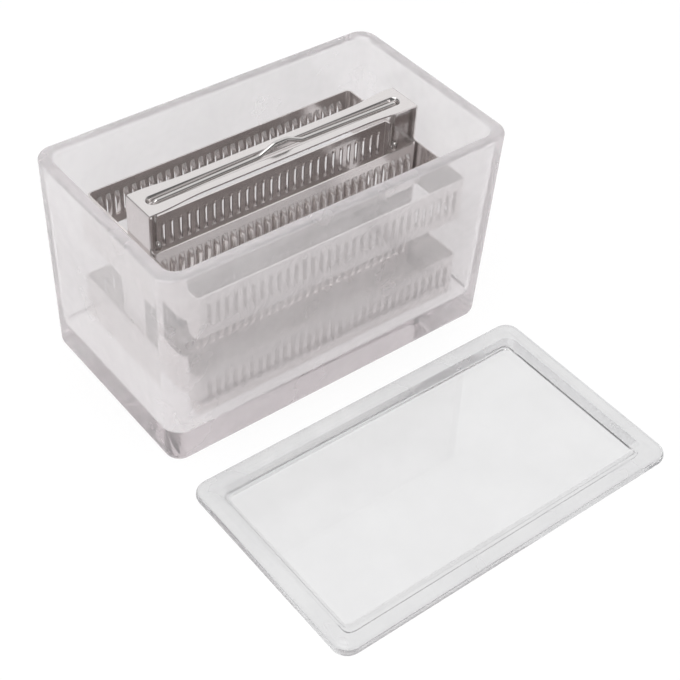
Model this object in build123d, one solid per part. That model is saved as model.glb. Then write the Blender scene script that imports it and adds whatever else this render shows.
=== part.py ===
from build123d import *
import math
import os

# Slide staining jar: a pressed-glass jar with its cover lying in front of it, and a
# folded-steel slide rack standing inside, with a lift wire that pulls up out of its handle.
#
# All sizes in millimetres. The origin is the centre of the jar's base on the table.
# +X runs along the jar's long side, +Y away from the cover, +Z up.
# The rack is laid out round the slides, and the jar round the rack.

# ---- Driving dimensions: slides and the frames that hold them ----
SLIDE_HEIGHT = 76.0
SLIDE_WIDTH = 26.0
SLIDE_CLEARANCE = 0.8
SLIDE_HEADROOM = 1.2
SHEET = 0.7
BAND_BORDER = 4.0
TIER_SPACING = 40.3
OUTER_BEND_INSIDE = 1.8
CENTRE_BEND_INSIDE = 0.4
CENTRE_WIDTH = 20.0
PLATE_FIT = 0.1

# ---- Driving dimensions: lanced ribs ----
RIB_COUNT = 31
RIB_WIDTH = 2.0
RIB_GAP = 2.05
RIB_LENGTH = 12.0
RIB_BULGE = 2.0
RIB_SLOPE = 2.4
RIB_CORNER_MARGIN = 2.05

# ---- Driving dimensions: lift wire ----
WIRE_DIAMETER = 2.0
WIRE_SEAT_GAP = 0.15
WIRE_SUNK = 0.4
WIRE_HOLE_CLEARANCE = 0.25
WIRE_HOLE_MARGIN = 0.1
WIRE_SIDE_SHIFT = 0.8
WIRE_BEND_RADIUS = 1.5
WIRE_LEG = 20.5
EYE_OUTER_DIAMETER = 4.8
EYE_TURN = 270.0
HUMP_RISE = 4.3
HUMP_TOP_LENGTH = 7.0
HUMP_BASE_LENGTH = 22.5
HUMP_BEND_RADIUS = 3.5

# ---- Driving dimensions: handle strap ----
STRAP_WIDTH = 15.8
STRAP_TAPER_START = 4.0
STRAP_TAPER_LENGTH = 22.0
STRAP_BEND_INSIDE = 0.3
GROOVE_END_MARGIN = 4.0
GROOVE_SIDE_MARGIN = 3.5
GROOVE_WIDTH = 5.8
GROOVE_DRAFT = 26.0

# ---- Driving dimensions: jar ----
JAR_WALL = 5.0
FLOOR_THICKNESS = 14.5
RACK_END_CLEARANCE = 8.7
RACK_SIDE_CLEARANCE = 3.0
RACK_RIGHT_GAP = 6.1
RACK_BACK_GAP = 0.85
END_FLARE = 2.5
SIDE_FLARE = 2.0
JAR_CORNER_RADIUS = 8.3
BASE_CORNER_RADIUS = 7.0
BASE_EDGE_RADIUS = 5.0
RIM_EDGE_RADIUS = 2.0
FLOOR_FILLET = 1.2

# ---- Driving dimensions: cover ----
PLUG_DEPTH = 1.5
PLUG_CLEARANCE = 1.9
PLUG_CORNER_RADIUS = 4.5
HUMP_CLEARANCE = 0.2
COVER_END_OVERHANG = 1.0
COVER_SIDE_OVERHANG = 0.5
COVER_CORNER_RADIUS = 6.8
COVER_THICKNESS = 5.6
COVER_EDGE_RADIUS = 2.5
TRAY_END_BORDER = 6.8
TRAY_SIDE_BORDER = 7.8
TRAY_FLOOR = 3.1
TRAY_DRAFT = 44.0
TRAY_CORNER_RADIUS = 5.0
COVER_GAP = 13.15

# ---- Rack sizes that follow ----
RIB_PITCH = RIB_WIDTH + RIB_GAP
RIB_ROW = (RIB_COUNT - 1) * RIB_PITCH + RIB_WIDTH
BAND_HEIGHT = RIB_LENGTH + 2 * BAND_BORDER
ROW_WIDTH = SLIDE_WIDTH + SLIDE_CLEARANCE
OUTER_CORNER_RADIUS = OUTER_BEND_INSIDE + SHEET
OUTER_LENGTH = RIB_ROW + 2 * (OUTER_CORNER_RADIUS + RIB_CORNER_MARGIN)
OUTER_WIDTH = CENTRE_WIDTH + 2 * ROW_WIDTH + 2 * SHEET
STRAP_LENGTH = OUTER_LENGTH - 2 * SHEET
CENTRE_LENGTH = STRAP_LENGTH - 2 * SHEET

RACK_FLOOR = FLOOR_THICKNESS
PLATE_TOP = RACK_FLOOR + SHEET
UPPER_TIER = RACK_FLOOR + TIER_SPACING
STRAP_TOP = PLATE_TOP + SLIDE_HEIGHT + SLIDE_HEADROOM

GROOVE_LENGTH = STRAP_LENGTH - 2 * GROOVE_END_MARGIN
GROOVE_DEPTH = WIRE_SUNK + WIRE_DIAMETER + WIRE_SEAT_GAP
GROOVE_SIDE_RUN = GROOVE_DEPTH * math.tan(math.radians(GROOVE_DRAFT))
GROOVE_FLOOR = STRAP_TOP - GROOVE_DEPTH
STRAP_WAIST = GROOVE_WIDTH + 2 * GROOVE_SIDE_MARGIN

WIRE_RADIUS = WIRE_DIAMETER / 2
WIRE_HOLE_RADIUS = WIRE_RADIUS + WIRE_HOLE_CLEARANCE
WIRE_LEVEL = STRAP_TOP - WIRE_SUNK - WIRE_RADIUS
WIRE_REACH = GROOVE_LENGTH / 2 - GROOVE_SIDE_RUN - WIRE_HOLE_RADIUS - WIRE_HOLE_MARGIN
EYE_RADIUS = (EYE_OUTER_DIAMETER - WIRE_DIAMETER) / 2
HUMP_TOP = WIRE_LEVEL + HUMP_RISE + WIRE_RADIUS

# ---- Jar and cover sizes that follow ----
BASE_LENGTH = OUTER_LENGTH + 2 * RACK_END_CLEARANCE + 2 * JAR_WALL
BASE_WIDTH = OUTER_WIDTH + 2 * RACK_SIDE_CLEARANCE + 2 * JAR_WALL
JAR_LENGTH = BASE_LENGTH + 2 * END_FLARE
JAR_WIDTH = BASE_WIDTH + 2 * SIDE_FLARE
JAR_HEIGHT = HUMP_TOP + HUMP_CLEARANCE + PLUG_DEPTH
MOUTH_LENGTH = JAR_LENGTH - 2 * JAR_WALL
MOUTH_WIDTH = JAR_WIDTH - 2 * JAR_WALL

COVER_LENGTH = JAR_LENGTH + 2 * COVER_END_OVERHANG
COVER_WIDTH = JAR_WIDTH + 2 * COVER_SIDE_OVERHANG
COVER_Y = -(JAR_WIDTH / 2 + COVER_GAP + COVER_WIDTH / 2)
TRAY_DEPTH = PLUG_DEPTH + COVER_THICKNESS - TRAY_FLOOR

RACK_PLACE = Pos(RACK_END_CLEARANCE - RACK_RIGHT_GAP, RACK_SIDE_CLEARANCE - RACK_BACK_GAP, 0)
WIRE_PLACE = RACK_PLACE * Pos(WIRE_SIDE_SHIFT, 0, 0)


def rounded_section(length, width, radius, level):
    """A flat rounded rectangle lying at the given level."""
    return Pos(0, 0, level) * RectangleRounded(length, width, radius)


def between(bottom, top, share):
    """The size a given share of the way from the bottom size to the top size."""
    return bottom + (top - bottom) * share


def edges_at(solid, level):
    """The edges that lie flat at the given level."""
    return solid.edges().filter_by(lambda edge: abs(edge.bounding_box().min.Z - level) < 1e-3
                                   and abs(edge.bounding_box().max.Z - level) < 1e-3)


def make_jar():
    """Thick-floored rectangular jar with drafted walls, pressed in one piece."""
    outside = loft([
        rounded_section(BASE_LENGTH, BASE_WIDTH, BASE_CORNER_RADIUS, 0),
        rounded_section(JAR_LENGTH, JAR_WIDTH, JAR_CORNER_RADIUS, JAR_HEIGHT),
    ], ruled=True)
    outside = fillet(edges_at(outside, 0), BASE_EDGE_RADIUS)

    share = FLOOR_THICKNESS / JAR_HEIGHT
    floor_length = between(BASE_LENGTH, JAR_LENGTH, share) - 2 * JAR_WALL
    floor_width = between(BASE_WIDTH, JAR_WIDTH, share) - 2 * JAR_WALL
    inner_corner = JAR_CORNER_RADIUS - JAR_WALL / 2
    floor_corner = BASE_CORNER_RADIUS - JAR_WALL / 2
    inside = loft([
        rounded_section(floor_length, floor_width, floor_corner, FLOOR_THICKNESS),
        rounded_section(MOUTH_LENGTH, MOUTH_WIDTH, inner_corner, JAR_HEIGHT),
    ], ruled=True)
    inside = fillet(edges_at(inside, FLOOR_THICKNESS), FLOOR_FILLET)

    jar = outside - inside
    return fillet(edges_at(jar, JAR_HEIGHT), RIM_EDGE_RADIUS)


def make_cover():
    """Glass cover: a plug underneath that sits in the jar's mouth, and a sunken tray on top."""
    slab = extrude(RectangleRounded(COVER_LENGTH, COVER_WIDTH, COVER_CORNER_RADIUS), COVER_THICKNESS)
    slab = fillet(edges_at(slab, 0) + edges_at(slab, COVER_THICKNESS), COVER_EDGE_RADIUS)
    plug = extrude(
        RectangleRounded(MOUTH_LENGTH - 2 * PLUG_CLEARANCE, MOUTH_WIDTH - 2 * PLUG_CLEARANCE,
                         PLUG_CORNER_RADIUS),
        -PLUG_DEPTH)
    tray = extrude(
        rounded_section(COVER_LENGTH - 2 * TRAY_END_BORDER, COVER_WIDTH - 2 * TRAY_SIDE_BORDER,
                        TRAY_CORNER_RADIUS, COVER_THICKNESS),
        -TRAY_DEPTH, taper=TRAY_DRAFT)
    return Pos(0, COVER_Y, PLUG_DEPTH) * (slab + plug - tray)


def rib_profile():
    """Outline of a lanced strip as (depth, height), with depth 0 in the middle of the sheet.

    The strip leaves the sheet at its foot, runs out by the bulge, stands straight and comes
    back into the sheet at its head.
    """
    half = RIB_LENGTH / 2
    crest = half - RIB_SLOPE
    middle = [(0, -half), (RIB_BULGE, -crest), (RIB_BULGE, crest), (0, half)]
    near = [(depth + SHEET / 2, height) for depth, height in middle]
    far = [(depth - SHEET / 2, height) for depth, height in reversed(middle)]
    return near + far


def lanced_rib(wall_depth, side, bulge_side):
    """One rib at x = 0 on the long wall whose outer face is wall_depth from the centre line."""
    mid_depth = wall_depth - SHEET / 2
    points = [
        (side * (mid_depth + bulge_side * depth), height)
        for depth, height in rib_profile()
    ]
    outline = Plane.YZ * make_face(Polyline(points, close=True))
    return Pos(0, 0, BAND_HEIGHT / 2) * extrude(outline, RIB_WIDTH / 2, both=True)


def make_band(length, width, bend_inside, bulge_side):
    """One folded strip, closed into a ring, with a row of lanced ribs along both long walls.

    bulge_side is +1 where the ribs stand out of the ring, and -1 where they stand into it.
    """
    ring = extrude(
        RectangleRounded(length, width, bend_inside + SHEET)
        - RectangleRounded(length - 2 * SHEET, width - 2 * SHEET, bend_inside),
        BAND_HEIGHT)
    places = [(index - (RIB_COUNT - 1) / 2) * RIB_PITCH for index in range(RIB_COUNT)]
    window = Box(RIB_WIDTH, width + 2 * SHEET, RIB_LENGTH)
    ring = ring - [Pos(x, 0, BAND_HEIGHT / 2) * window for x in places]
    ribs = [
        Pos(x, 0, 0) * lanced_rib(width / 2, side, bulge_side)
        for side in (-1, 1)
        for x in places
    ]
    return ring + ribs


def outer_band(level):
    """Frame round both rows of slides; its ribs stand in towards the slides."""
    return RACK_PLACE * Pos(0, 0, level) * make_band(OUTER_LENGTH, OUTER_WIDTH, OUTER_BEND_INSIDE, -1)


def centre_band(level):
    """Narrow frame between the rows; its ribs stand out towards the slides."""
    return RACK_PLACE * Pos(0, 0, level) * make_band(CENTRE_LENGTH, CENTRE_WIDTH, CENTRE_BEND_INSIDE, 1)


def make_bottom_plate():
    """Sheet floor inside the lower frame, on which the slides stand."""
    plate = extrude(
        RectangleRounded(STRAP_LENGTH - 2 * PLATE_FIT, OUTER_WIDTH - 2 * SHEET - 2 * PLATE_FIT,
                         OUTER_BEND_INSIDE),
        SHEET)
    return RACK_PLACE * Pos(0, 0, RACK_FLOOR) * plate


def strap_outline():
    """Plan of the strap, full width at the ends and drawn in along the groove."""
    end_x = STRAP_LENGTH / 2
    start_x = end_x - STRAP_TAPER_START
    waist_x = start_x - STRAP_TAPER_LENGTH
    half_end = STRAP_WIDTH / 2
    half_waist = STRAP_WAIST / 2
    middle = ((start_x + waist_x) / 2, (half_end + half_waist) / 2)

    straight_end = Line((end_x, 0), (end_x, half_end))
    end_side = Line(straight_end @ 1, (start_x, half_end))
    outer_arc = TangentArc(end_side @ 1, middle, tangent=(-1, 0))
    inner_arc = TangentArc(outer_arc @ 1, (waist_x, half_waist), tangent=outer_arc % 1)
    waist_side = Line(inner_arc @ 1, (0, half_waist))
    middle_line = Line(waist_side @ 1, (0, 0))
    centre_line = Line(middle_line @ 1, straight_end @ 0)
    quarter = make_face([straight_end, end_side, outer_arc, inner_arc, waist_side, middle_line,
                         centre_line])
    half = quarter + mirror(quarter, Plane.XZ)
    return half + mirror(half, Plane.YZ)


def folded_strip():
    """Side view of the folded strip, drawn full width: a flat top and two legs."""
    height = STRAP_TOP - PLATE_TOP
    block = Pos(0, 0, PLATE_TOP + height / 2) * Box(STRAP_LENGTH, STRAP_WIDTH, height)
    top_edges = edges_at(block, STRAP_TOP).filter_by(Axis.Y)
    block = fillet(top_edges, STRAP_BEND_INSIDE + SHEET)
    core = Pos(0, 0, PLATE_TOP + (height - SHEET) / 2) * Box(STRAP_LENGTH - 2 * SHEET,
                                                           STRAP_WIDTH, height - SHEET)
    core = fillet(edges_at(core, STRAP_TOP - SHEET).filter_by(Axis.Y), STRAP_BEND_INSIDE)
    return block - core


def groove_shape(skin):
    """The pressed groove as a solid: its hollow with skin 0, its underside with a skin's thickness."""
    spread = skin / math.cos(math.radians(GROOVE_DRAFT))
    mouth = SlotOverall(GROOVE_LENGTH + 2 * spread, GROOVE_WIDTH + 2 * spread)
    return extrude(Pos(0, 0, STRAP_TOP) * mouth, -(GROOVE_DEPTH + skin), taper=GROOVE_DRAFT)


def make_handle_strap():
    """Folded handle strap with a pressed groove and a hole for the wire at each end of it."""
    plan = extrude(strap_outline(), STRAP_TOP)
    strap = (folded_strip() & plan) + groove_shape(SHEET) - groove_shape(0)
    hole = Pos(WIRE_SIDE_SHIFT, 0, GROOVE_FLOOR) * Cylinder(WIRE_HOLE_RADIUS, 4 * SHEET)
    strap = strap - [Pos(side * WIRE_REACH, 0, 0) * hole for side in (-1, 1)]
    return RACK_PLACE * strap


def wire_eye(x, level):
    """Arc that curls a leg's end into an eye, in the plane across the strap."""
    plane = Plane(origin=(x, -EYE_RADIUS, level), x_dir=(0, 1, 0), z_dir=(1, 0, 0))
    return plane * CenterArc((0, 0), EYE_RADIUS, 0, -EYE_TURN)


def make_lift_wire():
    """One bent wire: it lies in the groove, humps up in the middle and curls at both ends."""
    eye_level = WIRE_LEVEL - WIRE_LEG
    hump_level = WIRE_LEVEL + HUMP_RISE
    right_half = [
        (HUMP_TOP_LENGTH / 2, hump_level, HUMP_BEND_RADIUS),
        (HUMP_BASE_LENGTH / 2, WIRE_LEVEL, HUMP_BEND_RADIUS),
        (WIRE_REACH, WIRE_LEVEL, WIRE_BEND_RADIUS),
        (WIRE_REACH, eye_level, 0),
    ]
    left_half = [(-x, z, radius) for x, z, radius in reversed(right_half)]
    route = left_half + right_half
    body = FilletPolyline(*[(x, 0, z) for x, z, radius in route],
                          radius=[radius for x, z, radius in route[1:-1]])
    eyes = [wire_eye(side * WIRE_REACH, eye_level) for side in (-1, 1)]
    path = Wire(body.edges() + eyes[0].edges() + eyes[1].edges())
    start = path @ 0
    section = Plane(origin=start, z_dir=path % 0) * Circle(WIRE_RADIUS)
    return WIRE_PLACE * sweep(section, path=path)


os.makedirs("parts", exist_ok=True)

export_step(make_jar(), "parts/jar_body.step")
export_step(make_cover(), "parts/lid.step")
export_step(outer_band(UPPER_TIER), "parts/upper_outer_band.step")
export_step(centre_band(UPPER_TIER), "parts/upper_centre_band.step")
export_step(outer_band(RACK_FLOOR), "parts/lower_outer_band.step")
export_step(centre_band(PLATE_TOP), "parts/lower_centre_band.step")
export_step(make_bottom_plate(), "parts/bottom_plate.step")
export_step(make_handle_strap(), "parts/handle_strap.step")
export_step(make_lift_wire(), "parts/lift_wire.step")
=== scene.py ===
import math

import bmesh
import bpy
from bpy.props import FloatProperty, FloatVectorProperty, IntProperty, PointerProperty
from mathutils import Matrix, Vector


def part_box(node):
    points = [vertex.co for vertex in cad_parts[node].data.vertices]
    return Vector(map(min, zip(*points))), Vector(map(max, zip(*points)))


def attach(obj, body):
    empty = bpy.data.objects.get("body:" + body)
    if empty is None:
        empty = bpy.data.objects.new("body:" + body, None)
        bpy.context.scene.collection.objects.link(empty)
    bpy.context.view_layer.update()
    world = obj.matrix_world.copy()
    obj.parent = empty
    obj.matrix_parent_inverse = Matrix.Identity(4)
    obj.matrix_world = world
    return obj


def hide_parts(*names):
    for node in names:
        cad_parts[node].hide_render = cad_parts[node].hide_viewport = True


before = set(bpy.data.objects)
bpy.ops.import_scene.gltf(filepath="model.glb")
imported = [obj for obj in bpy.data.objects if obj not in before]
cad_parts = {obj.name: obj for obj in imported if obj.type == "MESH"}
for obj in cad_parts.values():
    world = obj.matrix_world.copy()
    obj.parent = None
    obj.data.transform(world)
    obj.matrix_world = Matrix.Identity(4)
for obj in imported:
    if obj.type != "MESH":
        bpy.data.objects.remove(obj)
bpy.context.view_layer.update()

bl_info = {
    "name": "Slide Staining Jar",
    "version": (1, 0, 0),
    "blender": (4, 5, 0),
    "location": "View3D > Sidebar > Staining Jar",
    "description": "Dresses the slide staining jar: pressed glass, folded steel rack and lift wire",
    "category": "Object",
}

MM = 0.001

JAR_LOW, JAR_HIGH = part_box("jar_body")
LID_LOW, LID_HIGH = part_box("lid")
STRAP_LOW, STRAP_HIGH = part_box("handle_strap")
WIRE_LOW, WIRE_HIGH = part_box("lift_wire")
PLATE_LOW, PLATE_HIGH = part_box("bottom_plate")
SHEET = PLATE_HIGH.z - PLATE_LOW.z
RACK_CENTRE = Vector(((STRAP_LOW.x + STRAP_HIGH.x) / 2, (STRAP_LOW.y + STRAP_HIGH.y) / 2, 0))

WELD = 0.002 * MM  # how close two points of a piece lie when they weld into one
ROW_WELD = 0.005 * MM  # the same between copies in a row and between mirrored halves
FOLD_STEPS = 6
CORNER_STEPS = 12
RING_POINTS = 36
WIRE_POINTS = 20
DRILL_POINTS = 32

GLASS_IOR = 1.5
GLASS_BODY = (0.82, 0.78, 0.79, 1)  # what thick glass turns white light towards
GLASS_SHADOW = (0.96, 0.955, 0.955, 1)  # lamplight after one glass face
WHITE = (1, 1, 1, 1)

SENSOR_WIDTH = 36
BRIGHT_SIDE = (0.47, 0.56, 0.68)  # towards the lit end of the room, high behind the object


# ---------------------------------------------------------------- settings


class JarSettings(bpy.types.PropertyGroup):
    """Sizes of the pressed glass jar."""

    wall: FloatProperty(name="Wall", description="Thickness of the glass walls",
                        default=5 * MM, unit="LENGTH")
    floor: FloatProperty(name="Floor", description="Thickness of the glass floor",
                         default=PLATE_LOW.z - 0.05 * MM, unit="LENGTH")
    end_flare: FloatProperty(name="End flare", description="How far each end leans out from base to rim",
                             default=2.5 * MM, unit="LENGTH")
    side_flare: FloatProperty(name="Side flare", description="How far each side leans out from base to rim",
                              default=2 * MM, unit="LENGTH")
    base_corner: FloatProperty(name="Base corner", description="Radius of the upright corners at the base",
                               default=7 * MM, unit="LENGTH")
    rim_corner: FloatProperty(name="Rim corner", description="Radius of the upright corners at the rim",
                              default=8.3 * MM, unit="LENGTH")
    rim_edge: FloatProperty(name="Rim edge", description="Rounding of the rim",
                            default=2 * MM, unit="LENGTH")
    base_edge: FloatProperty(name="Base edge", description="Rounding round the base",
                             default=5 * MM, unit="LENGTH")
    floor_fillet: FloatProperty(name="Floor fillet", description="Rounding where the walls meet the floor",
                                default=1.2 * MM, unit="LENGTH")


class LidSettings(bpy.types.PropertyGroup):
    """Sizes of the glass cover."""

    plug_depth: FloatProperty(name="Plug depth", description="Depth of the plug under the cover",
                              default=1.5 * MM, unit="LENGTH")
    plug_end: FloatProperty(name="Plug end inset", description="From the cover's ends in to the plug",
                            default=7.9 * MM, unit="LENGTH")
    plug_side: FloatProperty(name="Plug side inset", description="From the cover's sides in to the plug",
                             default=7.4 * MM, unit="LENGTH")
    plug_corner: FloatProperty(name="Plug corner", description="Radius of the plug's corners",
                               default=4.5 * MM, unit="LENGTH")
    edge: FloatProperty(name="Edge", description="Rounding of the cover's edge",
                        default=2.5 * MM, unit="LENGTH")
    border_crown: FloatProperty(name="Border crown",
                                description="How far the border falls away to both sides",
                                default=0.5 * MM, unit="LENGTH")
    corner: FloatProperty(name="Corner", description="Radius of the cover's corners",
                          default=6.8 * MM, unit="LENGTH")
    end_border: FloatProperty(name="End border", description="From the cover's ends in to the tray",
                              default=6.8 * MM, unit="LENGTH")
    side_border: FloatProperty(name="Side border", description="From the cover's sides in to the tray",
                               default=7.8 * MM, unit="LENGTH")
    tray_depth: FloatProperty(name="Tray depth", description="Depth of the tray sunk in the top",
                              default=4 * MM, unit="LENGTH")
    tray_slope: FloatProperty(name="Tray slope", description="How far the tray's wall leans in",
                              default=3.9 * MM, unit="LENGTH")
    tray_corner: FloatProperty(name="Tray corner", description="Radius of the tray's corners",
                               default=5 * MM, unit="LENGTH")
    tray_round: FloatProperty(name="Tray rounding", description="Rounding of the tray's lip and floor",
                              default=1.2 * MM, unit="LENGTH")


class BandSettings(bpy.types.PropertyGroup):
    """Sizes of the folded steel bands and their lanced ribs."""

    rib_count: IntProperty(name="Ribs", description="Ribs along each long wall", default=31, min=1)
    rib_width: FloatProperty(name="Rib width", description="Width of one lanced rib",
                             default=2 * MM, unit="LENGTH")
    rib_gap: FloatProperty(name="Rib gap", description="Flat sheet between two ribs",
                           default=2.05 * MM, unit="LENGTH")
    rib_length: FloatProperty(name="Rib length", description="Height of one lanced rib",
                              default=12 * MM, unit="LENGTH")
    rib_bulge: FloatProperty(name="Rib bulge", description="How far a rib is pushed out of the sheet",
                             default=2 * MM, unit="LENGTH")
    rib_slope: FloatProperty(name="Rib slope", description="Length of a rib's sloped ends",
                             default=3.2 * MM, unit="LENGTH")
    rib_crown: FloatProperty(name="Rib crown", description="How much a rib is rounded across its width",
                             default=0.8 * MM, unit="LENGTH")
    rib_chord: FloatProperty(name="Rib chord",
                             description="Width across a rounded rib, as a share of its slot",
                             default=0.72, min=0.3, max=1)
    outer_corner: FloatProperty(name="Outer band corner", description="Corner radius of the outer bands",
                                default=2.5 * MM, unit="LENGTH")
    centre_corner: FloatProperty(name="Centre band corner", description="Corner radius of the centre bands",
                                 default=1.1 * MM, unit="LENGTH")


class StrapSettings(bpy.types.PropertyGroup):
    """Sizes of the handle strap."""

    waist: FloatProperty(name="Waist", description="Width of the strap along the groove",
                         default=12.8 * MM, unit="LENGTH")
    taper_start: FloatProperty(name="Taper start", description="From the strap's end to where it narrows",
                               default=4 * MM, unit="LENGTH")
    taper_length: FloatProperty(name="Taper length", description="Length over which the strap narrows",
                                default=22 * MM, unit="LENGTH")
    bend: FloatProperty(name="Bend", description="Outer radius of the folds at the ends",
                        default=1 * MM, unit="LENGTH")
    groove_margin: FloatProperty(name="Groove margin", description="From the strap's end to the groove",
                                 default=4 * MM, unit="LENGTH")
    groove_width: FloatProperty(name="Groove width", description="Width of the groove at its mouth",
                                default=5.8 * MM, unit="LENGTH")
    groove_floor: FloatProperty(name="Groove floor", description="Width of the groove at its floor",
                                default=3.3 * MM, unit="LENGTH")
    groove_depth: FloatProperty(name="Groove depth", description="Depth of the groove",
                                default=2.55 * MM, unit="LENGTH")
    mouth_round: FloatProperty(name="Mouth round", description="Radius along the groove's mouth",
                               default=0.9 * MM, unit="LENGTH")
    floor_round: FloatProperty(name="Floor round", description="Radius along the groove's floor",
                               default=0.6 * MM, unit="LENGTH")
    hole_radius: FloatProperty(name="Wire hole", description="Radius of the holes for the wire",
                               default=1.25 * MM, unit="LENGTH")
    wire_radius: FloatProperty(name="Wire radius", description="Radius of the wire in the holes",
                               default=1 * MM, unit="LENGTH")


class WireSettings(bpy.types.PropertyGroup):
    """Sizes of the lift wire."""

    diameter: FloatProperty(name="Diameter", description="Diameter of the wire",
                            default=2 * MM, unit="LENGTH")
    bend: FloatProperty(name="Leg bend", description="Radius of the bend at the top of each leg",
                        default=1.5 * MM, unit="LENGTH")
    bow: FloatProperty(name="Bow", description="Rise of the wire from each leg towards the hump",
                       default=math.radians(1.1), subtype="ANGLE")
    eye: FloatProperty(name="Eye", description="Outside diameter of the curled ends",
                       default=4.8 * MM, unit="LENGTH")
    hump_rise: FloatProperty(name="Hump rise", description="How far the hump stands above the wire's ends",
                             default=4.3 * MM, unit="LENGTH")
    hump_top: FloatProperty(name="Hump top", description="Length of the hump's flat top",
                            default=3 * MM, unit="LENGTH")
    hump_slope: FloatProperty(name="Hump slope", description="Slope of the hump's sides",
                              default=math.radians(24), subtype="ANGLE")
    hump_bend: FloatProperty(name="Hump bend", description="Radius of the hump's bends",
                             default=6 * MM, unit="LENGTH")


class FinishSettings(bpy.types.PropertyGroup):
    """Colours of glass and steel."""

    glass_tint: FloatVectorProperty(name="Glass tint", description="Colour of light passed by the jar",
                                    default=(0.975, 0.968, 0.971), subtype="COLOR", min=0, max=1)
    lid_tint: FloatVectorProperty(name="Lid tint", description="Colour of light passed by the cover",
                                  default=(0.925, 0.925, 0.927), subtype="COLOR", min=0, max=1)
    haze_colour: FloatVectorProperty(name="Haze", description="Colour of the milky film on the glass",
                                     default=(0.885, 0.87, 0.88), subtype="COLOR", min=0, max=1)
    haze: FloatProperty(name="Haze share", description="How much of a jar surface the film covers",
                        default=0.3, min=0, max=1)
    lid_haze_colour: FloatVectorProperty(name="Lid haze",
                                         description="Colour of the film on the cover's border",
                                         default=(0.66, 0.66, 0.67), subtype="COLOR", min=0, max=1)
    lid_haze: FloatProperty(name="Lid haze share",
                            description="How much of the cover's border the film covers",
                            default=0.26, min=0, max=1)
    steel: FloatVectorProperty(name="Rack steel", description="Colour of the rolled sheet",
                               default=(0.72, 0.685, 0.675), subtype="COLOR", min=0, max=1)
    strap_steel: FloatVectorProperty(name="Strap steel", description="Colour of the handle strap",
                                     default=(0.72, 0.69, 0.685), subtype="COLOR", min=0, max=1)
    wire_steel: FloatVectorProperty(name="Wire steel", description="Colour of the drawn wire",
                                    default=(0.62, 0.6, 0.59), subtype="COLOR", min=0, max=1)


class StageSettings(bpy.types.PropertyGroup):
    """Camera, floor and lamps."""

    azimuth: FloatProperty(name="Azimuth", description="Direction the camera looks in, turned from +Y to +X",
                           default=math.radians(40.38), subtype="ANGLE")
    elevation: FloatProperty(name="Elevation", description="How far the camera looks down",
                             default=math.radians(42.9), subtype="ANGLE")
    roll: FloatProperty(name="Roll", description="Turn of the camera about its own axis",
                        default=math.radians(3.8), subtype="ANGLE")
    target: FloatVectorProperty(name="Target", description="Point on the camera's axis",
                                default=(-4.4 * MM, -43.65 * MM, 30.5 * MM), subtype="TRANSLATION")
    distance: FloatProperty(name="Distance", description="From the camera to its target",
                            default=600 * MM, unit="LENGTH")
    lens: FloatProperty(name="Lens", description="Focal length on a 36 mm sensor", default=78.82)
    shift: FloatVectorProperty(name="Shift", description="Lens shift across and up",
                               default=(0.0177, -0.0075), size=2)


# ---------------------------------------------------------------- modelling helpers


def deselect_all():
    """Leaves edit mode and deselects every object."""
    if bpy.context.mode != "OBJECT":
        bpy.ops.object.mode_set(mode="OBJECT")
    bpy.ops.object.select_all(action="DESELECT")


def select_only(piece):
    """Leaves edit mode and makes the piece the only selected object, and the active one."""
    deselect_all()
    bpy.context.view_layer.objects.active = piece
    piece.select_set(True)


def edit(piece):
    """Makes the piece the only selected object and enters edit mode on it."""
    select_only(piece)
    bpy.ops.object.mode_set(mode="EDIT")


def done():
    """Leaves edit mode."""
    bpy.ops.object.mode_set(mode="OBJECT")


def fix_place(piece):
    """Puts the object's place, turn and scale into its mesh."""
    select_only(piece)
    bpy.ops.object.transform_apply(location=True, rotation=True, scale=True)


def pick(kind, test):
    """In edit mode, selects only the vertices, edges or faces that pass the test."""
    bpy.ops.mesh.select_mode(type=kind)
    bpy.ops.mesh.select_all(action="DESELECT")
    mesh = bmesh.from_edit_mesh(bpy.context.object.data)
    parts = {"VERT": mesh.verts, "EDGE": mesh.edges, "FACE": mesh.faces}[kind]
    count = 0
    for part in parts:
        if test(part):
            part.select_set(True)
            count += 1
    if count == 0:
        raise RuntimeError(f"nothing to select on {bpy.context.object.name}")
    mesh.select_flush_mode()
    bmesh.update_edit_mesh(bpy.context.object.data)


def near(value, goal, slack=0.02 * MM):
    """True where two lengths are the same."""
    return abs(value - goal) < slack


def middle(part):
    """Middle of an edge or a face."""
    return sum((vert.co for vert in part.verts), Vector()) / len(part.verts)


def is_flat_edge(edge, level):
    """True for an edge that lies at the level."""
    return near(edge.verts[0].co.z, level) and near(edge.verts[1].co.z, level)


def spin(angle, steps, centre, axis):
    """Turns the selection about the axis, anticlockwise seen against it, leaving faces behind."""
    bpy.ops.mesh.spin(steps=steps, angle=-angle, center=centre, axis=axis, use_auto_merge=False)


def extrude_edges(x, y, z):
    """In edit mode, draws the selected edges out by the given way, leaving faces behind."""
    bpy.ops.mesh.extrude_edges_move(TRANSFORM_OT_translate={"value": (x, y, z)})


def weld():
    """In edit mode, joins points that lie on each other."""
    bpy.ops.mesh.select_all(action="SELECT")
    bpy.ops.mesh.remove_doubles(threshold=WELD)


def face_outward():
    """In edit mode, turns every face outward."""
    bpy.ops.mesh.select_all(action="SELECT")
    bpy.ops.mesh.normals_make_consistent(inside=False)


def add_sheet(name, length, width, level):
    """A flat rectangle lying at the level, about the Z axis."""
    deselect_all()
    bpy.ops.mesh.primitive_plane_add(size=1, location=(0, 0, level))
    piece = bpy.context.object
    piece.name = name
    piece.data.name = name
    bpy.ops.transform.resize(value=(length, width, 1))
    fix_place(piece)
    return piece


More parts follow.
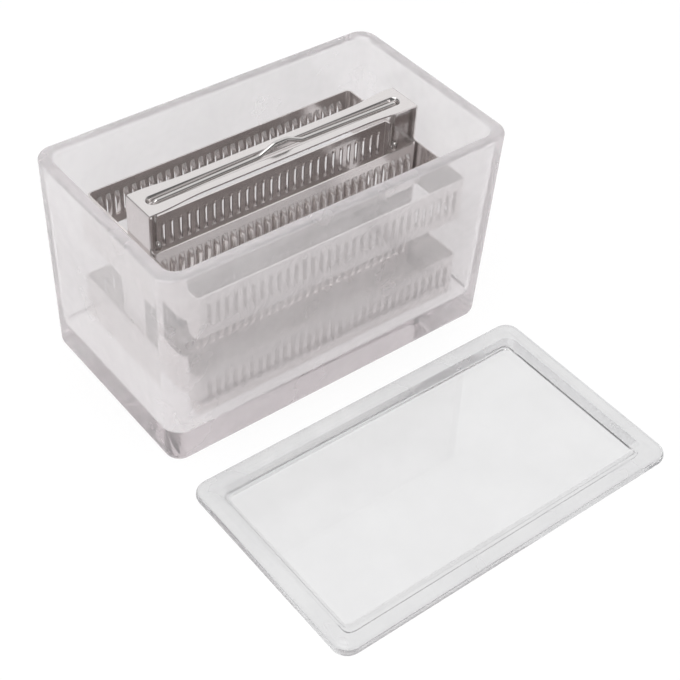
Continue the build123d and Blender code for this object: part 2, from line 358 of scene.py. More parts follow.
def add_outline(name, half_x, half_y, corner, level, filled):
    """A rectangle with rounded corners about the Z axis, lying flat at the level."""
    piece = add_sheet(name, 2 * half_x, 2 * half_y, level)
    edit(piece)
    bpy.ops.mesh.select_all(action="SELECT")
    bpy.ops.mesh.bevel(offset=corner, segments=CORNER_STEPS, profile=0.5, affect="VERTICES")
    if not filled:
        bpy.ops.mesh.delete(type="ONLY_FACE")
    done()
    return piece


def add_stack(name, outlines):
    """A closed piece bridged from each outline to the next, with the first and the last filled."""
    piece = add_outline(name, *outlines[0], True)
    for number, outline in enumerate(outlines[1:], 1):
        ring = add_outline(f"{name}_{number}", *outline, number == len(outlines) - 1)
        piece = join([piece, ring])
        edit(piece)
        pick("EDGE", lambda edge: len(edge.link_faces) < 2)
        bpy.ops.mesh.bridge_edge_loops()
        done()
    edit(piece)
    face_outward()
    done()
    return piece


def quarter_round(radius, steps):
    """Steps round a quarter circle, as (way in from the side, way up from the flat)."""
    turns = [math.pi / 2 * step / steps for step in range(steps + 1)]
    return [(radius * (1 - math.sin(turn)), radius * (1 - math.cos(turn))) for turn in turns]


def apply_modifier(piece, name, kind, **values):
    """Adds a modifier, sets its values and applies it."""
    select_only(piece)
    modifier = piece.modifiers.new(name, kind)
    for key, value in values.items():
        setattr(modifier, key, value)
    bpy.ops.object.modifier_apply(modifier=modifier.name)


def finish_surface(piece, angle=35):
    """Smooth shading that keeps flat faces flat."""
    select_only(piece)
    bpy.ops.object.shade_smooth_by_angle(angle=math.radians(angle))
    apply_modifier(piece, "Weighted normals", "WEIGHTED_NORMAL", keep_sharp=True, weight=80)


def place_on_rack(piece):
    """Moves a piece modelled about the rack's centre to the rack's place in the jar."""
    piece.location = RACK_CENTRE
    fix_place(piece)


def dress(piece, material, slot, body, *nodes):
    """Gives the piece its material and body, and hides the nodes it stands for. The slot is not used."""
    piece.data.materials.clear()
    piece.data.materials.append(material)
    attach(piece, body)
    if nodes:
        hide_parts(*nodes)


# ---------------------------------------------------------------- glass pieces


def model_jar(sizes):
    """Jar: outlines stacked up the outside, over the rim and down the inside to the floor."""
    top = JAR_HIGH.z
    half_x = (JAR_HIGH.x - JAR_LOW.x) / 2 - sizes.end_flare
    half_y = (JAR_HIGH.y - JAR_LOW.y) / 2 - sizes.side_flare

    def outline(level, inset, corner_less):
        """The jar's outline at a level, drawn in by an inset."""
        share = level / top
        corner = sizes.base_corner + (sizes.rim_corner - sizes.base_corner) * share
        return (half_x + sizes.end_flare * share - inset, half_y + sizes.side_flare * share - inset,
                corner - corner_less, level)

    rim_arc = quarter_round(sizes.rim_edge, steps=6)
    inner_less = sizes.wall / 2
    outlines = [outline(up, inset, inset) for inset, up in quarter_round(sizes.base_edge, steps=9)]
    outlines += [outline(top - up, inset, inset) for inset, up in reversed(rim_arc)]
    outlines += [outline(top - up, sizes.wall - inset, inner_less - inset) for inset, up in rim_arc]
    outlines += [outline(sizes.floor + up, sizes.wall + inset, inner_less + inset)
                 for inset, up in reversed(quarter_round(sizes.floor_fillet, steps=4))]
    piece = add_stack("jar_glass", outlines)
    finish_surface(piece)
    return piece


def model_lid(sizes):
    """Cover: outlines stacked from the plug, round the edge, over the lip and down to the tray."""
    centre = (LID_LOW + LID_HIGH) / 2
    half_x = (LID_HIGH.x - LID_LOW.x) / 2
    half_y = (LID_HIGH.y - LID_LOW.y) / 2
    thickness = LID_HIGH.z - LID_LOW.z
    slab = sizes.plug_depth
    plug_edge = 0.5 * MM
    corner_loss = 0.6

    def slab_outline(inset, level):
        """The slab's outline at a level, drawn in by an inset."""
        return (half_x - inset, half_y - inset, sizes.corner - inset, level)

    def plug_outline(inset, level):
        """The plug's outline at a level, drawn in by an inset."""
        return (half_x - sizes.plug_end - inset, half_y - sizes.plug_side - inset,
                sizes.plug_corner - inset, level)

    def tray_outline(inset, down):
        """The tray's outline a way down from the cover's top, drawn in by an inset."""
        return (half_x - sizes.end_border - inset, half_y - sizes.side_border - inset,
                sizes.tray_corner - inset * corner_loss, thickness - down)

    edge_arc = quarter_round(sizes.edge, steps=7)
    outlines = [plug_outline(inset, up) for inset, up in quarter_round(plug_edge, steps=3)]
    outlines.append(plug_outline(0, slab))
    outlines += [slab_outline(inset, slab + up) for inset, up in edge_arc]
    outlines += [slab_outline(inset, thickness - sizes.border_crown - up)
                 for inset, up in reversed(edge_arc)]
    lip_inset = sizes.side_border - sizes.tray_round
    for across in (0.1, 0.3, 0.5, 0.7, 0.9):
        inset = sizes.edge + (lip_inset - sizes.edge) * across
        outlines.append(slab_outline(inset, thickness - sizes.border_crown * (2 * across - 1) ** 2))
    outlines += [tray_outline(inset, down) for inset, down in tray_profile(sizes)]
    piece = add_stack("lid_glass", outlines)
    piece.location = (centre.x, centre.y, LID_LOW.z)
    fix_place(piece)
    finish_surface(piece)
    return piece


def tray_profile(sizes):
    """The tray's side as (way in, way down): a rounded lip, a leaning wall and a rounded foot."""
    lean = math.atan2(sizes.tray_depth - sizes.border_crown, sizes.tray_slope)
    dish = 0.04 * MM
    steps = 5
    lip = []
    for step in range(steps + 1):
        turn = lean * step / steps
        lip.append((sizes.tray_round * (math.sin(turn) - math.tan(lean / 2)),
                    sizes.tray_round * (1 - math.cos(turn)) + sizes.border_crown + dish))
    foot = [(sizes.tray_slope - inset, sizes.tray_depth + sizes.border_crown + dish - down)
            for inset, down in reversed(lip)]
    return lip + foot


# ---------------------------------------------------------------- steel sheet pieces


def model_rib_cell(name, sizes, height, bulge):
    """One pitch of a slotted wall, upright in the XZ plane, with its rib lanced towards +Y by bulge."""
    piece = add_sheet(name, sizes.rib_width + sizes.rib_gap, height, 0)
    piece.rotation_euler = (math.pi / 2, 0, 0)
    piece.location = (0, 0, height / 2)
    fix_place(piece)
    edit(piece)
    cut_rib_lines(sizes, height)
    lance_rib(piece, sizes, height, bulge)
    weld()
    done()
    return piece


def cut_rib_lines(sizes, height):
    """Cuts the sheet along the slot's sides and ends, and where the rib's curve needs points."""
    half_width = sizes.rib_width / 2
    for x in (-half_width, -half_width / 2, 0, half_width / 2, half_width):
        bpy.ops.mesh.select_all(action="SELECT")
        bpy.ops.mesh.bisect(plane_co=(x, 0, 0), plane_no=(1, 0, 0))
    for share in (0, 0.3, 0.6, 1):
        for side in (-1, 1):
            level = height / 2 + side * (sizes.rib_length / 2 - sizes.rib_slope * share)
            bpy.ops.mesh.select_all(action="SELECT")
            bpy.ops.mesh.bisect(plane_co=(0, 0, level), plane_no=(0, 0, 1))


def lance_rib(piece, sizes, height, bulge):
    """Splits the rib off along its slot and pushes it out, rounded across and narrowed at its crest."""
    half_width = sizes.rib_width / 2
    half_length = sizes.rib_length / 2
    crest = half_length - sizes.rib_slope
    pick("FACE", lambda face: abs(middle(face).x) < half_width
         and abs(middle(face).z - height / 2) < half_length)
    bpy.ops.mesh.split()
    bpy.ops.mesh.select_mode(type="VERT")
    mesh = bmesh.from_edit_mesh(piece.data)
    for vert in [vert for vert in mesh.verts if vert.select]:
        past = min(max((abs(vert.co.z - height / 2) - crest) / sizes.rib_slope, 0), 1)
        out = abs(bulge) * (1 - past ** 2)
        crown = min(sizes.rib_crown * (1 + past), out)
        vert.co.y += math.copysign(out - crown * (vert.co.x / half_width) ** 2, bulge)
        vert.co.x *= 1 - (1 - sizes.rib_chord) * (1 - past)
    bmesh.update_edit_mesh(piece.data)


def model_band(name, node, sizes, corner, bulge, standing_out):
    """A band: a ribbed wall, turned round both corners to the middle of the ends, and mirrored."""
    low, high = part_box(node)
    length = high.x - low.x
    width = high.y - low.y - 2 * standing_out
    height = high.z - low.z
    pitch = sizes.rib_width + sizes.rib_gap
    mid_radius = corner - SHEET / 2
    straight = length / 2 - corner
    wall_y = -(width / 2 - SHEET / 2)
    piece = model_rib_cell(name, sizes, height, bulge)
    piece.data.name = name
    piece.location = (-(sizes.rib_count - 1) / 2 * pitch, wall_y, low.z)
    fix_place(piece)
    apply_modifier(piece, "Row", "ARRAY", count=sizes.rib_count, use_relative_offset=False,
                   use_constant_offset=True, constant_offset_displace=(pitch, 0, 0),
                   use_merge_vertices=True, merge_threshold=ROW_WELD)
    edit(piece)
    row_end = sizes.rib_count * pitch / 2
    for side in (-1, 1):
        pick("EDGE", lambda edge: all(near(vert.co.x, side * row_end) for vert in edge.verts))
        extrude_edges(side * (straight - row_end), 0, 0)
        spin(side * math.pi / 2, FOLD_STEPS, (side * straight, wall_y + mid_radius, 0), (0, 0, 1))
        extrude_edges(0, -(wall_y + mid_radius), 0)
    weld()
    done()
    apply_modifier(piece, "Back half", "MIRROR", use_axis=(False, True, False), use_clip=True,
                   merge_threshold=ROW_WELD)
    edit(piece)
    face_outward()
    done()
    apply_modifier(piece, "Sheet", "SOLIDIFY", thickness=SHEET, offset=0, use_even_offset=True)
    place_on_rack(piece)
    finish_surface(piece)
    return piece


def add_slot_ring(name, half_length, radius, level, filled=False):
    """An outline with straight sides and round ends, lying flat at the level."""
    deselect_all()
    bpy.ops.mesh.primitive_circle_add(vertices=RING_POINTS, radius=radius, location=(0, 0, level),
                                      rotation=(0, 0, math.pi / RING_POINTS),
                                      fill_type="NGON" if filled else "NOTHING")
    piece = bpy.context.object
    piece.name = name
    fix_place(piece)
    edit(piece)
    for side in (-1, 1):
        pick("VERT", lambda vert: side * vert.co.x > 0)
        bpy.ops.transform.translate(value=(side * (half_length - radius), 0, 0))
    done()
    return piece


def join(pieces):
    """Joins pieces into the first one."""
    deselect_all()
    for piece in pieces:
        piece.select_set(True)
    bpy.context.view_layer.objects.active = pieces[0]
    bpy.ops.object.join()
    return pieces[0]


def groove_profile(sizes):
    """Radius and depth of the groove's rings, from its rounded mouth down to its rounded floor."""
    run = (sizes.groove_width - sizes.groove_floor) / 2
    turn = math.atan2(sizes.groove_depth, run)
    steps = 4
    mouth = []
    floor = []
    for step in range(steps + 1):
        angle = turn * step / steps
        out = math.tan(turn / 2) - math.sin(angle)
        down = 1 - math.cos(angle)
        mouth.append((sizes.groove_width / 2 + sizes.mouth_round * out, sizes.mouth_round * down))
        floor.append((sizes.groove_floor / 2 - sizes.floor_round * out,
                      sizes.groove_depth - sizes.floor_round * down))
    return mouth + floor[::-1]


def model_strap(sizes):
    """Handle strap: a flat with a pressed groove and a waist, folded down into a leg at each end."""
    top = STRAP_HIGH.z
    length = STRAP_HIGH.x - STRAP_LOW.x
    outline = waisted_outline(sizes, length, STRAP_HIGH.y - STRAP_LOW.y, top)
    piece = press_groove(outline, sizes, length / 2 - sizes.groove_margin, top)
    piece.name = "strap_sheet"
    piece.data.name = "strap_sheet"
    fold_legs(piece, sizes, length / 2 - sizes.bend, top)
    apply_modifier(piece, "Sheet", "SOLIDIFY", thickness=SHEET, offset=-1, use_even_offset=True)
    drill_wire_holes(piece, sizes, top - sizes.groove_depth)
    place_on_rack(piece)
    finish_surface(piece)
    return piece


def waisted_outline(sizes, length, width, level):
    """The edge of the strap's flat part, its long sides drawn in to the waist."""
    side_cuts = 47
    least_step = 0.1 * MM
    outline = add_sheet("strap_outline", 2 * (length / 2 - sizes.bend), width, level)
    edit(outline)
    bpy.ops.mesh.delete(type="ONLY_FACE")
    pick("EDGE", lambda edge: near(abs(middle(edge).y), width / 2))
    bpy.ops.mesh.subdivide(number_cuts=side_cuts)
    done()
    stations = []
    for x in sorted(vert.co.x for vert in outline.data.vertices):
        if not stations or x - stations[-1] > least_step:
            stations.append(x)
    edit(outline)
    for x in stations:
        past = (length / 2 - sizes.taper_start - abs(x)) / sizes.taper_length
        share = 0.5 - 0.5 * math.cos(math.pi * min(max(past, 0), 1))
        if share > 0:
            pick("VERT", lambda vert: near(vert.co.x, x))
            scale = (width + (sizes.waist - width) * share) / width
            bpy.ops.transform.resize(value=(1, scale, 1), center_override=(0, 0, 0))
    done()
    return outline


def press_groove(outline, sizes, mouth, top):
    """Fills the flat up to the groove's mouth, then bridges ring after ring down to its floor."""
    profile = groove_profile(sizes)
    rings = []
    for number, (radius, depth) in enumerate(profile):
        half_length = mouth - sizes.groove_width / 2 + radius
        last = number == len(profile) - 1
        rings.append(add_slot_ring(f"strap_ring_{number}", half_length, radius, top - depth, last))
    piece = join([outline, rings[0]])
    edit(piece)
    bpy.ops.mesh.select_mode(type="EDGE")
    bpy.ops.mesh.select_all(action="SELECT")
    bpy.ops.mesh.fill(use_beauty=True)
    done()
    levels = [top - depth for radius, depth in profile]
    for upper, lower, ring in zip(levels, levels[1:], rings[1:]):
        piece = join([piece, ring])
        edit(piece)
        pick("EDGE", lambda edge: len(edge.link_faces) < 2 and in_groove(edge, mouth, sizes)
             and (is_flat_edge(edge, upper) or is_flat_edge(edge, lower)))
        bpy.ops.mesh.bridge_edge_loops()
        done()
    return piece


def fold_legs(piece, sizes, half_flat, top):
    """Folds a leg down at each end of the flat."""
    fold = top - sizes.bend
    edit(piece)
    for side in (-1, 1):
        pick("EDGE", lambda edge: all(near(vert.co.x, side * half_flat) for vert in edge.verts)
             and is_flat_edge(edge, top))
        spin(side * math.pi / 2, FOLD_STEPS, (side * half_flat, 0, fold), (0, 1, 0))
        extrude_edges(0, 0, STRAP_LOW.z - fold)
    weld()
    face_outward()
    done()


def drill_wire_holes(piece, sizes, level):
    """Drills the holes that the wire's two legs pass through."""
    for hole_x in (WIRE_LOW.x + sizes.wire_radius, WIRE_HIGH.x - sizes.wire_radius):
        deselect_all()
        bpy.ops.mesh.primitive_cylinder_add(vertices=DRILL_POINTS, radius=sizes.hole_radius,
                                            depth=6 * SHEET,
                                            location=(hole_x - RACK_CENTRE.x, 0, level))
        drill = bpy.context.object
        apply_modifier(piece, "Wire hole", "BOOLEAN", operation="DIFFERENCE", object=drill,
                       solver="EXACT")
        bpy.data.objects.remove(drill)


def in_groove(edge, mouth, sizes):
    """True for an edge that lies within the groove's mouth."""
    reach = sizes.groove_width / 2 + sizes.mouth_round
    return all(abs(vert.co.y) < reach and abs(vert.co.x) < mouth + sizes.mouth_round
               for vert in edge.verts)


# ---------------------------------------------------------------- lift wire


class WireBender:
    """Draws a round wire out from a disc: each run extrudes its end and each bend spins it."""

    LEAST_STEPS = 3
    DEGREES_A_STEP = 12

    def __init__(self, name, start, heading, radius):
        deselect_all()
        turn = Vector((0, 0, 1)).rotation_difference(heading).to_euler()
        bpy.ops.mesh.primitive_circle_add(vertices=WIRE_POINTS, radius=radius, location=start,
                                          rotation=turn, fill_type="NGON")
        self.piece = bpy.context.object
        self.piece.name = name
        self.piece.data.name = name
        fix_place(self.piece)
        self.place = Vector(start)
        self.heading = Vector(heading).normalized()
        edit(self.piece)
        bpy.ops.mesh.select_mode(type="FACE")
        bpy.ops.mesh.select_all(action="SELECT")

    def run(self, length):
        """A straight length."""
        step = self.heading * length
        bpy.ops.mesh.extrude_region_move(TRANSFORM_OT_translate={"value": step})
        self.place += step

    def bend(self, angle, radius, towards):
        """A bend of the given angle and radius, turning towards a direction square to the heading."""
        towards = Vector(towards).normalized()
        centre = self.place + towards * radius
        axis = self.heading.cross(towards)
        steps = max(self.LEAST_STEPS, round(math.degrees(angle) / self.DEGREES_A_STEP))
        spin(angle, steps, centre, axis)
        turn = Matrix.Rotation(angle, 3, axis)
        self.place = centre + turn @ (self.place - centre)
        self.heading = turn @ self.heading

    def finish(self):
        """Closes the mesh and returns the piece."""
        weld()
        face_outward()
        done()
        return self.piece


def model_wire(sizes):
    """Lift wire: an eye and a leg, a bowed run up to the hump, and the same again down the far side."""
    radius = sizes.diameter / 2
    eye = sizes.eye / 2 - radius
    reach = (WIRE_HIGH.x - WIRE_LOW.x) / 2 - radius
    level = WIRE_HIGH.z - radius - sizes.hump_rise
    eye_level = WIRE_LOW.z + sizes.eye / 2
    leg = level - eye_level - sizes.bend
    bow = sizes.bow
    slope = sizes.hump_slope
    turn = slope - bow
    bend = sizes.hump_bend
    curl = 1.5 * math.pi
    along = (reach - sizes.bend * (1 - math.sin(bow)) - bend * (2 * math.sin(slope) - math.sin(bow))
             - sizes.hump_top / 2)
    rise = (sizes.hump_rise + sizes.bend * (1 - math.cos(bow))
            - bend * (1 + math.cos(bow) - 2 * math.cos(slope)))
    run = (along * math.sin(slope) - rise * math.cos(slope)) / math.sin(turn)
    ramp = (rise * math.cos(bow) - along * math.sin(bow)) / math.sin(turn)
    up = Vector((0, 0, 1))
    right = Vector((1, 0, 0))
    front = Vector((0, -1, 0))

    start = Vector((-reach, -eye, eye_level + eye))
    wire = WireBender("wire_rod", start, front, radius)
    wire.bend(curl, eye, -up)
    wire.run(leg)
    wire.bend(math.pi / 2 - bow, sizes.bend, right)
    wire.run(run)
    wire.bend(turn, bend, square_to(wire.heading, up))
    wire.run(ramp)
    wire.bend(slope, bend, square_to(wire.heading, -up))
    wire.run(sizes.hump_top)
    wire.bend(slope, bend, -up)
    wire.run(ramp)
    wire.bend(turn, bend, square_to(wire.heading, up))
    wire.run(run)
    wire.bend(math.pi / 2 - bow, sizes.bend, square_to(wire.heading, -up))
    wire.run(leg)
    wire.bend(curl, eye, front)
    piece = wire.finish()
    piece.location = ((WIRE_LOW.x + WIRE_HIGH.x) / 2, RACK_CENTRE.y, 0)
    fix_place(piece)
    finish_surface(piece, angle=50)
    return piece


def square_to(heading, direction):
    """The part of a direction that is square to the heading."""
    return (direction - heading * direction.dot(heading)).normalized()


# ---------------------------------------------------------------- materials


def new_material(name):
    """An empty node material and its tree."""
    material = bpy.data.materials.new(name)
    material.use_nodes = True
    material.node_tree.nodes.clear()
    return material, material.node_tree


def add_node(tree, kind, settings=None, **sockets):
    """Adds a node, sets its own settings and the sockets given by name."""
    node = tree.nodes.new(kind)
    for key, value in (settings or {}).items():
        setattr(node, key, value)
    for key, value in sockets.items():
        node.inputs[key.replace("_", " ")].default_value = value
    return node


def colour4(colour):
    """A colour with full alpha."""
    return (colour[0], colour[1], colour[2], 1)


def feed(tree, socket, value):
    """Links the socket to another one, or gives it a plain value."""
    if isinstance(value, bpy.types.NodeSocket):
        tree.links.new(value, socket)
    else:
        socket.default_value = value


def combine(tree, operation, first, second=0.0):
    """Works out one value from two, each a socket or a number."""
    node = add_node(tree, "ShaderNodeMath", {"operation": operation})
    feed(tree, node.inputs[0], first)
    feed(tree, node.inputs[1], second)
    return node.outputs["Value"]


def rescale(tree, value, start, end, low, high):
    """Maps a value from the range start to end onto the range low to high."""
    node = add_node(tree, "ShaderNodeMapRange", From_Min=start, From_Max=end, To_Min=low, To_Max=high)
    feed(tree, node.inputs["Value"], value)
    return node.outputs["Result"]


def blend(tree, share, first, second):
    """A blend of two shaders, where the share is that of the second."""
    node = add_node(tree, "ShaderNodeMixShader")
    feed(tree, node.inputs["Fac"], share)
    feed(tree, node.inputs[1], first)
    feed(tree, node.inputs[2], second)
    return node.outputs["Shader"]


def noise(tree, vector, scale):
    """Soft noise over the given places."""
    node = add_node(tree, "ShaderNodeTexNoise", Scale=scale, Detail=3.0)
    feed(tree, node.inputs["Vector"], vector)
    return node.outputs["Fac"]


def height_of(tree, vector):
    """The Z part of a vector."""
    node = add_node(tree, "ShaderNodeSeparateXYZ")
    feed(tree, node.inputs["Vector"], vector)
    return node.outputs["Z"]


def glass_material(name, tint, haze_colour, haze, cloud, low_below, low_share, density):
    """Pressed glass with a milky film, thinner on level faces below a height; lamps shine through it."""
    material, tree = new_material(name)
    output = add_node(tree, "ShaderNodeOutputMaterial")
    glass = add_node(tree, "ShaderNodeBsdfGlass", Color=colour4(tint), Roughness=0.0,
                     IOR=GLASS_IOR)
    path = add_node(tree, "ShaderNodeLightPath")
    share = combine(tree, "MULTIPLY", film_share(tree, haze, cloud, low_below, low_share),
                    film_shows(tree, path))
    hazy = blend(tree, share, glass.outputs["BSDF"], film_shader(tree, haze_colour))
    clear = add_node(tree, "ShaderNodeBsdfTransparent", Color=GLASS_SHADOW)
    straight = combine(tree, "MAXIMUM", path.outputs["Is Shadow Ray"], path.outputs["Is Diffuse Ray"])
    feed(tree, output.inputs["Surface"], blend(tree, straight, hazy, clear.outputs["BSDF"]))
    if density > 0:
        body = add_node(tree, "ShaderNodeVolumeAbsorption", Color=GLASS_BODY, Density=density)
        feed(tree, output.inputs["Volume"], body.outputs["Volume"])
    return material


def film_shader(tree, colour):
    """The milky film itself, which scatters light to both sides of the glass."""
    near_side = add_node(tree, "ShaderNodeBsdfDiffuse", Color=colour4(colour))
    far_side = add_node(tree, "ShaderNodeBsdfTranslucent", Color=colour4(colour))
    return blend(tree, 0.5, near_side.outputs["BSDF"], far_side.outputs["BSDF"])


def film_share(tree, haze, cloud, low_below, low_share):
    """How much of the glass the film covers: cloudy, and thinner on level faces below a height."""
    coords = add_node(tree, "ShaderNodeTexCoord")
    clouds = noise(tree, coords.outputs["Object"], scale=38.0)
    cloudy = rescale(tree, clouds, start=0.35, end=0.65, low=haze - cloud, high=haze + cloud)
    above = rescale(tree, height_of(tree, coords.outputs["Object"]), start=low_below - 0.5 * MM,
                    end=low_below, low=low_share, high=1.0)
    level = combine(tree, "ABSOLUTE", height_of(tree, coords.outputs["Normal"]))
    upright = rescale(tree, level, start=0.9, end=0.5, low=low_share, high=1.0)
    return combine(tree, "MULTIPLY", cloudy, combine(tree, "MAXIMUM", above, upright))


def film_shows(tree, path):
    """Nought on the first glass face that mirrored light comes to, and one on every other."""
    unmirrored = combine(tree, "LESS_THAN", path.outputs["Glossy Depth"], 0.5)
    inside = combine(tree, "GREATER_THAN", path.outputs["Transmission Depth"], 0.5)
    return combine(tree, "MAXIMUM", unmirrored, inside)


def steel_material(name, colour, metallic, roughness, grain_scale, grain):
    """Stainless steel with a fine rolled or drawn grain."""
    material, tree = new_material(name)
    output = add_node(tree, "ShaderNodeOutputMaterial")
    coords = add_node(tree, "ShaderNodeTexCoord")
    stretch = add_node(tree, "ShaderNodeMapping", Scale=grain_scale)
    feed(tree, stretch.inputs["Vector"], coords.outputs["Object"])
    lines = noise(tree, stretch.outputs["Vector"], scale=1.0)
    bump = add_node(tree, "ShaderNodeBump", Strength=grain, Distance=0.2 * MM)
    feed(tree, bump.inputs["Height"], lines)
    steel = add_node(tree, "ShaderNodeBsdfPrincipled", Base_Color=colour4(colour), Metallic=metallic)
    feed(tree, steel.inputs["Roughness"],
         rescale(tree, lines, start=0.0, end=1.0, low=roughness - 0.06, high=roughness + 0.08))
    feed(tree, steel.inputs["Normal"], bump.outputs["Normal"])
    feed(tree, output.inputs["Surface"], steel.outputs["BSDF"])
    return material


def floor_material():
    """A pale floor that shows white and keeps a soft shadow."""
    material, tree = new_material("Studio floor")
    output = add_node(tree, "ShaderNodeOutputMaterial")
    paint = add_node(tree, "ShaderNodeBsdfDiffuse", Color=(0.85, 0.85, 0.85, 1))
    glow = add_node(tree, "ShaderNodeEmission", Color=WHITE, Strength=1.0)
    path = add_node(tree, "ShaderNodeLightPath")
    glow_share = 0.85
    looked_at = combine(tree, "MAXIMUM", path.outputs["Is Camera Ray"], path.outputs["Is Glossy Ray"])
    looked_at = combine(tree, "MAXIMUM", looked_at, path.outputs["Is Transmission Ray"])
    share = combine(tree, "MULTIPLY", looked_at, glow_share)
    feed(tree, output.inputs["Surface"],
         blend(tree, share, paint.outputs["BSDF"], glow.outputs["Emission"]))
    return material


# ---------------------------------------------------------------- operators


class STAININGJAR_OT_glass(bpy.types.Operator):
    """Models the pressed glass jar and its cover"""

    bl_idname = "staining_jar.glass"
    bl_label = "Jar and Cover"

    def execute(self, context):
        scene = context.scene
        finish = scene.jar_finish
        jar = model_jar(scene.jar_sizes)
        material = glass_material("Jar pressed glass", finish.glass_tint, finish.haze_colour,
                                  finish.haze, cloud=0.04, low_below=scene.jar_sizes.floor + 1 * MM,
                                  low_share=0, density=15)
        dress(jar, material, "jar_glass", "jar", "jar_body")
        lid = model_lid(scene.lid_sizes)
        material = glass_material("Lid pressed glass", finish.lid_tint, finish.lid_haze_colour,
                                  finish.lid_haze, cloud=0.1, low_below=4 * MM, low_share=0.15,
                                  density=0)
        dress(lid, material, "lid_glass", "jar", "lid")
        return {"FINISHED"}


class STAININGJAR_OT_bands(bpy.types.Operator):
    """Models the slotted steel bands and finishes the bottom plate"""

    bl_idname = "staining_jar.bands"
    bl_label = "Slotted Bands"

    def execute(self, context):
        scene = context.scene
        sizes = scene.band_sizes
        material = steel_material("Rack rolled steel", scene.jar_finish.steel, metallic=0.85,
                                  roughness=0.15, grain_scale=(60, 60, 900), grain=0.15)
        for tier in ("upper", "lower"):
            band = model_band(f"{tier}_outer_sheet", f"{tier}_outer_band", sizes, sizes.outer_corner,
                              sizes.rib_bulge, 0)
            dress(band, material, "rack_steel", "jar", f"{tier}_outer_band")
            band = model_band(f"{tier}_centre_sheet", f"{tier}_centre_band", sizes, sizes.centre_corner,
                              -sizes.rib_bulge, sizes.rib_bulge)
            dress(band, material, "rack_steel", "jar", f"{tier}_centre_band")
        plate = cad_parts["bottom_plate"]
        plate.data.materials.clear()
        plate.data.materials.append(
            steel_material("Plate rolled steel", scene.jar_finish.steel, metallic=0.75,
                           roughness=0.3, grain_scale=(60, 900, 60), grain=0.15))
        return {"FINISHED"}


class STAININGJAR_OT_strap(bpy.types.Operator):
    """Models the handle strap with its pressed groove"""

    bl_idname = "staining_jar.strap"
    bl_label = "Handle Strap"

    def execute(self, context):
        scene = context.scene
        strap = model_strap(scene.strap_sizes)
        material = steel_material("Strap satin steel", scene.jar_finish.strap_steel, metallic=1.0,
                                  roughness=0.17, grain_scale=(40, 1200, 1200), grain=0.12)
        dress(strap, material, "strap_steel", "jar", "handle_strap")
        return {"FINISHED"}


class STAININGJAR_OT_wire(bpy.types.Operator):
    """Bends the lift wire"""

    bl_idname = "staining_jar.wire"
    bl_label = "Lift Wire"

    def execute(self, context):
        scene = context.scene
        wire = model_wire(scene.wire_sizes)
        material = steel_material("Wire drawn steel", scene.jar_finish.wire_steel, metallic=1.0,
                                  roughness=0.12, grain_scale=(300, 300, 300), grain=0.05)
        dress(wire, material, "wire_steel", "lift_wire", "lift_wire")
        return {"FINISHED"}


class STAININGJAR_OT_stage(bpy.types.Operator):
    """Sets the floor, the lamps, the world and the camera"""

    bl_idname = "staining_jar.stage"
    bl_label = "Stage"

    def execute(self, context):
        stage = context.scene.stage_settings
        add_floor()
        add_lamps()
        set_world(context.scene)
        set_camera(context.scene, stage)
        context.scene.view_settings.view_transform = "Standard"
        context.scene.cycles.max_bounces = 16
        context.scene.cycles.transmission_bounces = 16
        context.scene.cycles.glossy_bounces = 8
        return {"FINISHED"}


def add_floor():
    """A wide flat floor under the object."""
    deselect_all()
    bpy.ops.mesh.primitive_plane_add(size=6, location=(0, 0, -0.2 * MM))
    floor = bpy.context.object
    floor.name = "studio_floor"
    floor.data.materials.append(floor_material())


def add_lamp(name, place, target, size, power):
    """A square soft lamp aimed at a point."""
    data = bpy.data.lights.new(name, "AREA")
    data.shape = "SQUARE"
    data.size = size
    data.energy = power
    lamp = bpy.data.objects.new(name, data)
    bpy.context.scene.collection.objects.link(lamp)
    lamp.location = place
    lamp.rotation_euler = (Vector(target) - Vector(place)).to_track_quat("-Z", "Y").to_euler()


def add_lamps():
    """Two large soft lamps, high above and low to the left."""
    centre = (0, -0.04, 0.05)
    add_lamp("top_softbox", (-0.35, -0.2, 1.0), centre, size=0.8, power=5)
    add_lamp("side_softbox", (-0.9, -0.2, 0.5), centre, size=0.7, power=0.8)


def sky_shader(tree, strength):
    """White light of the given strength."""
    node = add_node(tree, "ShaderNodeBackground", Color=WHITE)
    feed(tree, node.inputs["Strength"], strength)
    return node.outputs["Background"]


def set_world(scene):
    """Soft light all round, shown as white; mirrored light is bright only on the bright side."""
    world = bpy.data.worlds.new("Studio")
    scene.world = world
    world.use_nodes = True
    tree = world.node_tree
    tree.nodes.clear()
    output = add_node(tree, "ShaderNodeOutputWorld")
    path = add_node(tree, "ShaderNodeLightPath")
    coords = add_node(tree, "ShaderNodeTexCoord")
    toward = add_node(tree, "ShaderNodeVectorMath", {"operation": "DOT_PRODUCT"})
    feed(tree, toward.inputs[0], coords.outputs["Generated"])
    feed(tree, toward.inputs[1], BRIGHT_SIDE)
    side = toward.outputs["Value"]
    through_glass = path.outputs["Is Transmission Ray"]
    glossy = path.outputs["Is Glossy Ray"]

    fill = sky_shader(tree, rescale(tree, side, start=-0.8, end=0.8, low=0.4, high=1.15))
    seen = combine(tree, "MAXIMUM", path.outputs["Is Camera Ray"], through_glass)
    shown = blend(tree, combine(tree, "MAXIMUM", seen, glossy), fill, sky_shader(tree, strength=1.0))
    dimming = rescale(tree, through_glass, start=0.0, end=1.0, low=0.97, high=0.6)
    away = rescale(tree, side, start=0.3, end=0.8, low=1.0, high=0.0)
    dimmed = combine(tree, "MULTIPLY", combine(tree, "MULTIPLY", dimming, glossy), away)
    feed(tree, output.inputs["Surface"], blend(tree, dimmed, shown, sky_shader(tree, strength=0.1)))


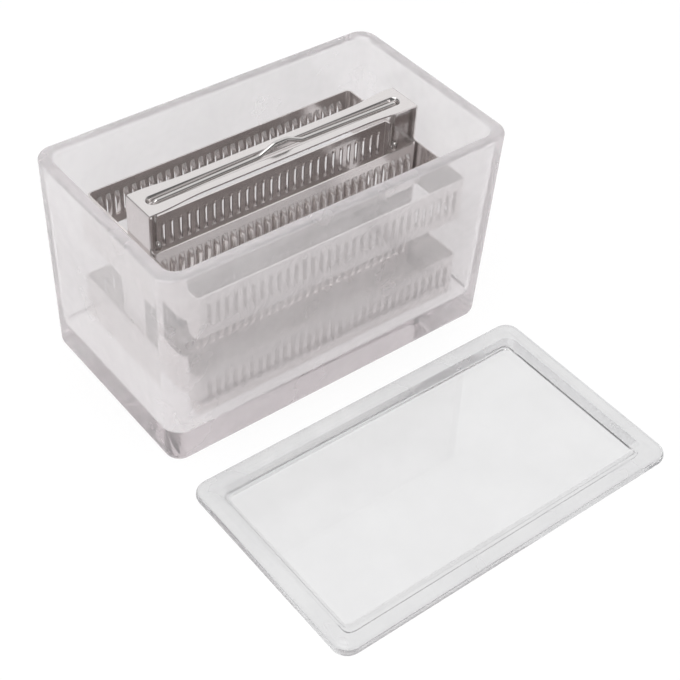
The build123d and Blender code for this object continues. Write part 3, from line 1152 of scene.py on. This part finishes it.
def set_camera(scene, stage):
    """The camera, on its line through the target, turned by its azimuth, elevation and roll."""
    across = Vector((math.cos(stage.azimuth), -math.sin(stage.azimuth), 0))
    ahead = Vector((math.sin(stage.azimuth) * math.cos(stage.elevation),
                    math.cos(stage.azimuth) * math.cos(stage.elevation),
                    -math.sin(stage.elevation)))
    up = across.cross(ahead)
    right = across * math.cos(stage.roll) + up * math.sin(stage.roll)
    top = up * math.cos(stage.roll) - across * math.sin(stage.roll)
    data = bpy.data.cameras.new("Camera")
    data.lens = stage.lens
    data.sensor_width = SENSOR_WIDTH
    data.shift_x = stage.shift[0]
    data.shift_y = stage.shift[1]
    data.clip_start = 10 * MM
    camera = bpy.data.objects.new("Camera", data)
    scene.collection.objects.link(camera)
    turn = Matrix((right, top, -ahead)).transposed().to_4x4()
    camera.matrix_world = Matrix.Translation(Vector(stage.target) - ahead * stage.distance) @ turn
    scene.camera = camera


class STAININGJAR_PT_panel(bpy.types.Panel):
    """Lists the pieces and the stage"""

    bl_label = "Slide Staining Jar"
    bl_idname = "STAININGJAR_PT_panel"
    bl_space_type = "VIEW_3D"
    bl_region_type = "UI"
    bl_category = "Staining Jar"

    def draw(self, context):
        for step in STEPS:
            self.layout.operator(step.bl_idname)
        for owner in SETTINGS:
            group = getattr(context.scene, owner)
            box = self.layout.box()
            for name in group.bl_rna.properties.keys():
                if name not in ("rna_type", "name"):
                    box.prop(group, name)


SETTINGS = {
    "jar_sizes": JarSettings,
    "lid_sizes": LidSettings,
    "band_sizes": BandSettings,
    "strap_sizes": StrapSettings,
    "wire_sizes": WireSettings,
    "jar_finish": FinishSettings,
    "stage_settings": StageSettings,
}
STEPS = (
    STAININGJAR_OT_glass,
    STAININGJAR_OT_bands,
    STAININGJAR_OT_strap,
    STAININGJAR_OT_wire,
    STAININGJAR_OT_stage,
)


def register():
    """Registers the settings, the operators and the panel."""
    for owner, group in SETTINGS.items():
        bpy.utils.register_class(group)
        setattr(bpy.types.Scene, owner, PointerProperty(type=group))
    for step in STEPS:
        bpy.utils.register_class(step)
    bpy.utils.register_class(STAININGJAR_PT_panel)


def unregister():
    """Takes them out again."""
    bpy.utils.unregister_class(STAININGJAR_PT_panel)
    for step in reversed(STEPS):
        bpy.utils.unregister_class(step)
    for owner, group in SETTINGS.items():
        delattr(bpy.types.Scene, owner)
        bpy.utils.unregister_class(group)


def main():
    """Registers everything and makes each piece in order."""
    register()
    bpy.ops.staining_jar.glass()
    bpy.ops.staining_jar.bands()
    bpy.ops.staining_jar.strap()
    bpy.ops.staining_jar.wire()
    bpy.ops.staining_jar.stage()


if __name__ == "__main__":
    main()
